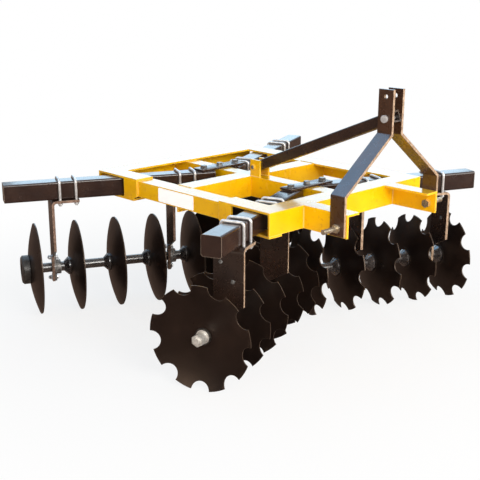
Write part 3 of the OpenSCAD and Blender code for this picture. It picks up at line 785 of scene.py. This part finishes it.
# %% White plate
def white_plate():
    material, tree, shader, place = new_finish("white_plate")
    face = ramp(tree, noise(tree, place, scale=30.0, detail=5.0), (
        (0.35, (0.92, 0.92, 0.91)), (0.70, (0.98, 0.98, 0.97)),
    ))
    tree.links.new(face, shader.inputs["Base Color"])
    tree.links.new(face, shader.inputs["Emission Color"])
    shader.inputs["Emission Strength"].default_value = 0.28
    roughen(tree, shader, place, scale=40.0, detail=3.0, low=0.25, high=0.45)
    grain = noise(tree, place, scale=500.0, detail=2.0)
    soft_edges(tree, shader, grain, strength=0.05, distance=0.0003, radius=0.0008)
    return material


# %% [markdown]
# Painting the steel
#
# Each solid that came with the frame keeps its shape and takes its finish here, by what it is on the
# machine.


# %% Finishes onto the solids
YELLOW = yellow_enamel()
BLACK = black_enamel()
ZINC = bright_zinc()
GOLD = gold_zinc()
DULL = dull_zinc()
IRON = cast_iron()
SPOOL = spool_finish()
WHITE = white_plate()
MAST = mast_plate()


def dress(name, material):
    mesh = frame["nodes"][name].data
    mesh.materials.clear()
    mesh.materials.append(material)


for name in ("front_rail", "rear_rail", "middle_rail", "centre_rail", "right_side_rail", "left_side_rail",
             "hitch_brackets", "brace_clevis"):
    dress(name, YELLOW)
for name in ("right_mast_bar", "left_mast_bar"):
    dress(name, MAST)
for name in ("brace_tube", "front_strap", "rear_strap"):
    dress(name, BLACK)
dress("lower_link_pins", GOLD)
dress("brace_pin", ZINC)
for gang in GANG_NAMES:
    dress(gang + "_beam", BLACK)
    dress(gang + "_hangers", hanger_plate(gang))
    dress(gang + "_bearings", IRON)
    dress(gang + "_clamps", ZINC)
    dress(gang + "_discs", disc_paint(gang))
    dress(gang + "_spools", SPOOL)
    dress(gang + "_axle", axle_finish(gang))
print("painted", len(frame["nodes"]), "solids")

# %% [markdown]
# One bolt
#
# A hexagon head is a six-sided cylinder whose top corners are turned off on a lathe. Here the top face is
# inset and raised a little, which leaves the same sloping corners. Under it lies a washer with a soft
# edge, and where a nut has its bolt's end showing, a stub of thread stands out of it. A fitter leaves the
# flats at any angle, so each copy is turned by its own few radians, which mostly follow from its place.

# %% Bolt, nut and washer masters
HAIR = 1e-6

# Soft edges and turned-off corners, as shares of the washer's thickness, the thread's radius, the head's
# height and the width across its flats
WASHER_EDGE = 0.3
THREAD_EDGE = 0.18
CORNER_DROP = 0.14
TOP_INSET = 0.07


def turned_disc(radius, height, base, edge, sides=28):
    clear_selection()
    bpy.ops.mesh.primitive_cylinder_add(vertices=sides, radius=radius, depth=height,
                                        location=(0, 0, base + height / 2))
    piece = bpy.context.active_object
    settle(piece)
    top = base + height
    pick_edges(piece, lambda a, b: a.z > top - HAIR and b.z > top - HAIR)
    bpy.ops.mesh.bevel(offset=edge, segments=2, affect="EDGES")
    leave_edit()
    return piece


def hex_head(flats, height, base):
    to_corner = flats / 2 / math.cos(math.radians(30))
    prism = height * (1 - CORNER_DROP)
    clear_selection()
    bpy.ops.mesh.primitive_cylinder_add(vertices=6, radius=to_corner, depth=prism,
                                        location=(0, 0, base + prism / 2))
    piece = bpy.context.active_object
    settle(piece)
    pick_faces(piece, lambda face: face.normal.z > 0.9)
    bpy.ops.mesh.inset(thickness=flats * TOP_INSET)
    bpy.ops.transform.translate(value=(0, 0, height * CORNER_DROP))
    leave_edit()
    return piece


def bolt_master(flats, height, washer_r, washer_t, thread_r=0.0, thread_out=0.0):
    washer = turned_disc(washer_r, washer_t, base=0.0, edge=washer_t * WASHER_EDGE)
    parts = [washer, hex_head(flats, height, washer_t)]
    if thread_out:
        stub = height + thread_out
        parts.append(turned_disc(thread_r, stub, base=washer_t, edge=thread_r * THREAD_EDGE, sides=20))
    master = join(parts, "bolt")
    smooth(master, 30)
    return master


def finish_piece(piece, material, body):
    piece.data.materials.clear()
    piece.data.materials.append(material)
    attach(piece, body)
    print(piece.name, len(piece.data.polygons), "faces, on", body)


# %% [markdown]
# Straps and pivot bolts
#
# Two flat bars, one over and one under, tie the inner ends of each pair of beams together, and a long
# bolt through both makes the pivot. The bars have rolled edges and cropped corners, so a box gets its
# four upright edges rounded first and its rims second. They stand for the plain straps of the frame.

# %% Straps
STRAP_HALF = 0.146
STRAP_W = 0.0762
STRAP_CORNER = 0.004
LOW_STRAP_HALF = 0.140
LOW_STRAP_W = 0.0508
LOW_STRAP_CORNER = 0.003
STRAP_RIM = 0.0010


def flat_bar(half, width, centre_y, base, corner):
    clear_selection()
    bpy.ops.mesh.primitive_cube_add(size=1, location=(0, centre_y, base + ANGLE_T / 2))
    bar = bpy.context.active_object
    bar.scale = (2 * half, width, ANGLE_T)
    settle(bar)
    pick_edges(bar, lambda a, b: abs(a.z - b.z) > ANGLE_T / 2)
    bpy.ops.mesh.bevel(offset=corner, segments=4, affect="EDGES")
    leave_edit()
    pick_edges(bar, lambda a, b: abs(a.z - b.z) < HAIR)
    bpy.ops.mesh.bevel(offset=STRAP_RIM, segments=2, affect="EDGES")
    leave_edit()
    return bar


def strap_plates(place):
    y = joints[place + "_left_angle"]["pos_m"][1]
    upper = flat_bar(STRAP_HALF, STRAP_W, y, low_top_z, STRAP_CORNER)
    lower = flat_bar(LOW_STRAP_HALF, LOW_STRAP_W, y, low_rail_z - ANGLE_T, LOW_STRAP_CORNER)
    plates = join([upper, lower], place + "_strap_plates")
    smooth(plates)
    finish_piece(plates, BLACK, "frame")
    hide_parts(place + "_strap")


for place in ("front", "rear"):
    strap_plates(place)

# %% Pivot bolts
PIVOT_FLATS = 0.0285
PIVOT_HEAD_T = 0.012
PIVOT_NUT_T = 0.009
PIVOT_WASHER_R = 0.0185
PIVOT_WASHER_T = 0.0026
SPACER_R = 0.018
SPACER_FIT = 0.0003


def pivot_bolts(place):
    y = joints[place + "_left_angle"]["pos_m"][1]
    head = bolt_master(PIVOT_FLATS, PIVOT_HEAD_T, PIVOT_WASHER_R, PIVOT_WASHER_T)
    nut = bolt_master(PIVOT_FLATS, PIVOT_NUT_T, PIVOT_WASHER_R, PIVOT_WASHER_T)
    bottom = low_rail_z - ANGLE_T
    parts = []
    for x in (-PIVOT_X, PIVOT_X):
        parts.append(placed(head, (x, y, top_z), (0, 0, 1), 0.3 + 4 * x))
        parts.append(placed(nut, (x, y, bottom), (0, 0, -1), 0.8 + 3 * x))
        shank = turned_disc(BOLT_R, top_z - bottom, base=bottom, edge=0.0005, sides=24)
        above = turned_disc(SPACER_R, low_top_z - beam_top - SPACER_FIT, base=beam_top + SPACER_FIT,
                            edge=0.0002, sides=24)
        below = turned_disc(SPACER_R, beam_bottom - low_rail_z - SPACER_FIT, base=low_rail_z,
                            edge=0.0005, sides=24)
        for item in (shank, above, below):
            item.data.transform(Matrix.Translation((x, y, 0)))
            parts.append(item)
    parts.append(placed(head, (0, y, top_z), (0, 0, 1), 0.1))
    parts.append(placed(nut, (0, y, bottom), (0, 0, -1), 0.5))
    drop(head, nut)
    bolts = join(parts, place + "_pivot_bolts")
    finish_piece(bolts, DULL, "frame")


for place in ("front", "rear"):
    pivot_bolts(place)

# %% [markdown]
# Bearing bolts, washers and grease nipples
#
# Each gang hangs on two flanged bearings. Two bolts hold a bearing's oval flange to its hanger plate,
# heads on the flange and nuts behind the plate, and a grease nipple stands on its body. Between the
# hangers' feet and the U-bolts' nuts lie washers. The front gangs' outer hangers have two small bolts
# more, high on the plate.

# %% Fittings on the gangs
BEARING_BOLT_UP = BEARING_H / 2 - BEARING_BOLT_IN
BEARING_BODY_OUT = 0.024
NIPPLE_UP = 0.0355
NIPPLE_R = 0.0035


def nipple_master():
    foot = turned_disc(NIPPLE_R * 1.6, height=0.004, base=0.0, edge=0.0008, sides=6)
    neck = turned_disc(NIPPLE_R * 0.7, height=0.006, base=0.004, edge=0.0006, sides=14)
    ball = turned_disc(NIPPLE_R, height=0.004, base=0.009, edge=0.0015, sides=14)
    master = join([foot, neck, ball], "nipple")
    smooth(master)
    return master


def gang_fittings(gang):
    place = gang.split("_")[0]
    head = bolt_master(flats=0.019, height=0.008, washer_r=0.0125, washer_t=0.0022)
    nut = bolt_master(flats=0.019, height=0.009, washer_r=0.0125, washer_t=0.0022,
                      thread_r=0.006, thread_out=0.004)
    washer = turned_disc(radius=0.0135, height=0.0024, base=0.0, edge=0.0007)
    nipple = nipple_master()
    parts = []
    for station, way in HANGERS[place]:
        for up in (-BEARING_BOLT_UP, BEARING_BOLT_UP):
            front = station + way * (HANGER_T / 2 + BEARING_FLANGE_T)
            behind = station - way * HANGER_T / 2
            z = DISC_R + up
            parts.append(placed(head, spot_on(gang, front, AXLE_BACK, z), way_on(gang, way, 0, 0), up * 9))
            parts.append(placed(nut, spot_on(gang, behind, AXLE_BACK, z), way_on(gang, -way, 0, 0), up * 5))
        body_middle = station + way * (HANGER_T / 2 + BEARING_BODY_OUT)
        parts.append(placed(nipple, spot_on(gang, body_middle, AXLE_BACK, DISC_R + NIPPLE_UP), (0, 0, 1)))
        for reach in UBOLTS[place]:
            for side in (-1, 1):
                leg = side * (BEAM_W / 2 + UBOLT_FIT + UBOLT_R)
                under = spot_on(gang, station + way * reach, leg, foot_bottom)
                parts.append(placed(washer, under, (0, 0, -1)))
    drop(head, nut, washer, nipple)
    fittings = join(parts, gang + "_fittings")
    finish_piece(fittings, ZINC, gang + "_gang")


for gang in GANG_NAMES:
    gang_fittings(gang)

# %% Small bolts through the front gangs' outer hangers
# Each one's place to the rear of the gang's beam line and below the beam, and how its flats are turned
HANGER_BOLTS = ((0.034, 0.066, 0.3), (-0.021, 0.145, 1.1))


def hanger_bolts(gang):
    station = HANGERS["front"][1][0]
    head = bolt_master(flats=0.013, height=0.0052, washer_r=0.0085, washer_t=0.0014)
    parts = []
    for across, below, turn in HANGER_BOLTS:
        for side in (-1, 1):
            face = spot_on(gang, station + side * HANGER_T / 2, across, beam_bottom - below)
            parts.append(placed(head, face, way_on(gang, side, 0, 0), turn))
    drop(head)
    bolts = join(parts, gang + "_hanger_bolts")
    finish_piece(bolts, DULL, gang + "_gang")


for gang in GANG_NAMES:
    if gang.startswith("front"):
        hanger_bolts(gang)

# %% [markdown]
# The brace's bolt and the hairpin
#
# The brace is bolted between two upright plates at the rear, and hangs on a headed pin between the mast
# bars, which a spring hairpin keeps in. The hairpin is one bent wire, so it is drawn as a curve with a
# round section.

# %% Brace bolt
CLEVIS_BOLT_UP = 0.046
CLEVIS_BOLT_IN = 0.022
CLEVIS_INSIDE = 0.0257
CLEVIS_FACE = CLEVIS_INSIDE + ANGLE_T

clevis_low, clevis_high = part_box("brace_clevis")


def clevis_bolt():
    y = clevis_high[1] - CLEVIS_BOLT_IN
    z = low_top_z + CLEVIS_BOLT_UP
    head = bolt_master(flats=0.0190, height=0.0072, washer_r=0.0125, washer_t=0.0020)
    parts = [placed(head, (side * CLEVIS_FACE, y, z), (side, 0, 0), 0.4) for side in (-1, 1)]
    drop(head)
    bolt = join(parts, "brace_bolt")
    finish_piece(bolt, DULL, "frame")


clevis_bolt()

# %% Hairpin
MAST_GAP = 0.054
MAST_T = 0.0127
HAIRPIN_OUT = 0.014
WIRE_R = 0.0017

pin_low, pin_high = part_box("brace_pin")
brace_pin_y = (pin_low[1] + pin_high[1]) / 2
brace_pin_z = (pin_low[2] + pin_high[2]) / 2

# The wire's route from the brace pin's middle, as y and z: the straight leg, the round eye and the waved
# leg
HAIRPIN_ROUTE = ((0.012, -0.034), (0.006, -0.010), (0.0, 0.012), (-0.006, 0.030), (-0.001, 0.040),
                 (0.007, 0.036), (0.009, 0.024), (0.015, 0.010), (0.021, -0.004), (0.020, -0.016))


def wire(name, points, radius):
    clear_selection()
    bpy.ops.curve.primitive_bezier_curve_add(location=(0, 0, 0))
    curve = bpy.context.active_object
    curve.data.splines.clear()
    spline = curve.data.splines.new("BEZIER")
    spline.bezier_points.add(len(points) - 1)
    for knot, point in zip(spline.bezier_points, points):
        knot.co = point
        knot.handle_left_type = "AUTO"
        knot.handle_right_type = "AUTO"
    curve.data.dimensions = "3D"
    curve.data.bevel_depth = radius
    curve.data.bevel_resolution = 3
    curve.data.resolution_u = 8
    curve.data.use_fill_caps = True
    only(curve)
    bpy.ops.object.convert(target="MESH")
    piece = bpy.context.active_object
    piece.name = name
    smooth(piece, 40)
    return piece


def hairpin():
    x = MAST_GAP / 2 + MAST_T + HAIRPIN_OUT
    points = [(x, brace_pin_y + y, brace_pin_z + z) for y, z in HAIRPIN_ROUTE]
    piece = wire("hairpin", points, WIRE_R)
    finish_piece(piece, ZINC, "frame")


hairpin()

# %% [markdown]
# The blank plate
#
# A white plate is stuck to the right side rail. It stays blank. It is a thin sheet with round corners and
# a low border, made from a flat plane: its corners are rounded, its face is inset, and Solidify gives its
# thickness.

# %% Blank plate
PLATE_LEN = 0.250
PLATE_H = 0.0665
PLATE_T = 0.0008
PLATE_CORNER = 0.006
BORDER_W = 0.0022
BORDER_SLOPE = 0.0006
BORDER_UP = 0.0003
PLATE_MIDDLE_Y = -0.026
PLATE_MIDDLE_Z = top_z - 0.0475


def blank_plate():
    clear_selection()
    bpy.ops.mesh.primitive_plane_add(size=1)
    plate = bpy.context.active_object
    plate.name = "blank_plate"
    plate.scale = (PLATE_LEN, PLATE_H, 1)
    settle(plate)
    edit(plate, "VERT")
    bpy.ops.object.mode_set(mode="EDIT")
    bpy.ops.mesh.select_all(action="SELECT")
    bpy.ops.mesh.bevel(offset=PLATE_CORNER, segments=5, affect="VERTICES")
    bpy.ops.mesh.select_all(action="SELECT")
    bpy.ops.mesh.inset(thickness=BORDER_W)
    bpy.ops.transform.translate(value=(0, 0, BORDER_UP))
    bpy.ops.mesh.inset(thickness=BORDER_SLOPE)
    bpy.ops.transform.translate(value=(0, 0, -BORDER_UP))
    leave_edit()
    thick = plate.modifiers.new("thick", "SOLIDIFY")
    thick.thickness = PLATE_T
    thick.offset = -1
    only(plate)
    bpy.ops.object.modifier_apply(modifier="thick")
    face_x = -(FRAME_W / 2 - ANGLE_T) - PLATE_T
    onto_rail = Matrix((
        (0, 0, -1, face_x),
        (-1, 0, 0, PLATE_MIDDLE_Y),
        (0, 1, 0, PLATE_MIDDLE_Z),
        (0, 0, 0, 1),
    ))
    plate.data.transform(onto_rail)
    finish_piece(plate, WHITE, "frame")


blank_plate()

# %% [markdown]
# Weld beads
#
# The frame is arc welded and the beads are painted over. A bead is a row of small overlapping ripples.
# One ripple is a flattened sphere, an Array modifier repeats it along the seam, and the row is turned
# into place.

# %% Weld beads
BRACKET_X = 0.320
FRONT_BOX_LEN = 0.310
REAR_BOX_LEN = 0.306
CENTRE_SEAM_HALF = 0.036
BEAD_R = 0.0042
FLAT_BEAD_R = BEAD_R * 0.7
CLEVIS_BEAD_R = BEAD_R * 0.8
BOX_BEAD_R = BEAD_R * 0.5
RIPPLE_STEP = 0.75
RIPPLE_FLATNESS = 0.62

# How far short of the steel's end each bead stops
SHORT_OF_END = 0.004
CLEVIS_SHORT_OF_END = 0.003
BOX_SHORT_OF_FOOT = 0.012
BOX_SHORT_OF_TOP = 0.002


def bead(start, end, radius):
    start, end = Vector(start), Vector(end)
    length = (end - start).length
    step = radius * RIPPLE_STEP
    clear_selection()
    bpy.ops.mesh.primitive_uv_sphere_add(segments=10, ring_count=6, radius=radius)
    ripple = bpy.context.active_object
    ripple.scale = (1.0, 1.0, RIPPLE_FLATNESS)
    settle(ripple)
    row = ripple.modifiers.new("row", "ARRAY")
    row.use_relative_offset = False
    row.use_constant_offset = True
    row.constant_offset_displace = (0, 0, step)
    row.count = max(2, int(length / step))
    only(ripple)
    bpy.ops.object.modifier_apply(modifier="row")
    tilt = (end - start).to_track_quat("Z", "Y").to_matrix().to_4x4()
    ripple.data.transform(Matrix.Translation(start) @ tilt)
    return ripple


def bracket_seams(side):
    low, high = top_z - RAIL_LEG + SHORT_OF_END, top_z - SHORT_OF_END
    return [bead((x, front_y, low), (x, front_y, high), BEAD_R)
            for x in (side * BRACKET_X, side * (BRACKET_X - ANGLE_T))]


def rail_seam(side):
    x = side * (FRAME_W / 2 - RAIL_LEG)
    start, end = middle_y + SHORT_OF_END, middle_y + RAIL_LEG - SHORT_OF_END
    return bead((x, start, low_top_z), (x, end, low_top_z), FLAT_BEAD_R)


def clevis_seams(side):
    start, end = clevis_low[1] + CLEVIS_SHORT_OF_END, clevis_high[1] - CLEVIS_SHORT_OF_END
    return [bead((side * face, start, low_top_z), (side * face, end, low_top_z), CLEVIS_BEAD_R)
            for face in (CLEVIS_FACE, CLEVIS_INSIDE)]


def box_seams(side):
    x = side * (FRAME_W / 2 - ANGLE_T)
    low, high = low_top_z - SIDE_LEG + BOX_SHORT_OF_FOOT, low_top_z - BOX_SHORT_OF_TOP
    return [bead((x, y, low), (x, y, high), BOX_BEAD_R)
            for y in (front_y + FRONT_BOX_LEN, rear_y - REAR_BOX_LEN)]


def frame_welds():
    rows = []
    for side in (-1, 1):
        rows += bracket_seams(side) + [rail_seam(side)] + clevis_seams(side) + box_seams(side)
    seam_ends = [(x, middle_y, low_top_z) for x in (-CENTRE_SEAM_HALF, CENTRE_SEAM_HALF)]
    rows.append(bead(*seam_ends, FLAT_BEAD_R))
    welds = join(rows, "frame_welds")
    smooth(welds, 60)
    finish_piece(welds, YELLOW, "frame")


frame_welds()
